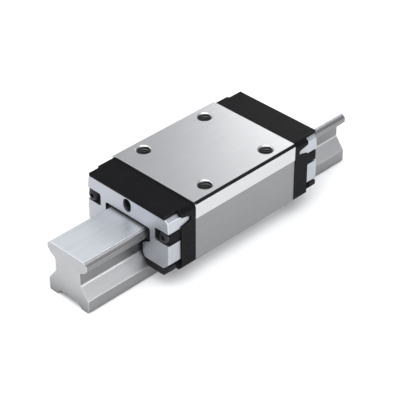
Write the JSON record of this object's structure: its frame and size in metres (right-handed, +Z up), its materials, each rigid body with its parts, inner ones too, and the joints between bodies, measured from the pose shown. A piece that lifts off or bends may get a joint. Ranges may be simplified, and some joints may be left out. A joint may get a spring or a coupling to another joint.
{
  "type": "linear guide carriage",
  "caption": "Slim recirculating-ball carriage on a short profiled rail: steel body with a tapped top, black end caps, pale scraper plates, and a cover strip along the rail.",
  "frame": {"origin": "centre of the rail's underside, under the middle of the carriage at rest", "axes": "+X along the rail from the carriage's front end to its rear end, +Y to the left, +Z up out of the mounting face"},
  "size_m": [0.15, 0.048, 0.036],
  "materials": {
    "ground_steel": "ground",
    "hard_steel": "hardened and ground",
    "strip_steel": "cold-rolled strip",
    "scraper_steel": "matt stainless sheet",
    "black_plastic": "moulded, fine grain",
    "pale_plastic": "moulded",
    "seal_rubber": "matt",
    "black_steel": "black oxide",
    "ball_steel": "polished"
  },
  "bodies": {
    "rail": {"guide_rail": "ground_steel", "rail_cover_strip": "strip_steel"},
    "carriage": {"runner_block": "ground_steel", "ball_retainer_roof": "pale_plastic", "bearing_plate_upper_left": "hard_steel", "ball_chain_upper_left": "ball_steel", "return_tube_upper_left": "pale_plastic", "bearing_plate_lower_left": "hard_steel", "ball_chain_lower_left": "ball_steel", "return_tube_lower_left": "pale_plastic", "ball_retainer_middle_left": "pale_plastic", "ball_retainer_foot_left": "pale_plastic", "side_seal_left": "seal_rubber", "bearing_plate_upper_right": "hard_steel", "ball_chain_upper_right": "ball_steel", "return_tube_upper_right": "pale_plastic", "bearing_plate_lower_right": "hard_steel", "ball_chain_lower_right": "ball_steel", "return_tube_lower_right": "pale_plastic", "ball_retainer_middle_right": "pale_plastic", "ball_retainer_foot_right": "pale_plastic", "side_seal_right": "seal_rubber", "return_plate_front": "pale_plastic", "end_cap_front": "black_plastic", "end_seal_front": "seal_rubber", "scraper_plate_front": "scraper_steel", "lube_plug_front": "black_steel", "cap_screw_front_left": "black_steel", "cap_screw_front_right": "black_steel", "return_plate_rear": "pale_plastic", "end_cap_rear": "black_plastic", "end_seal_rear": "seal_rubber", "scraper_plate_rear": "scraper_steel", "lube_plug_rear": "black_steel", "cap_screw_rear_left": "black_steel", "cap_screw_rear_right": "black_steel"}
  },
  "joints": [
    {"name": "carriage_slide", "type": "slide", "parent": "rail", "child": "carriage", "axis": [1, 0, 0], "range_m": [-0.031, 0.031]}
  ]
}
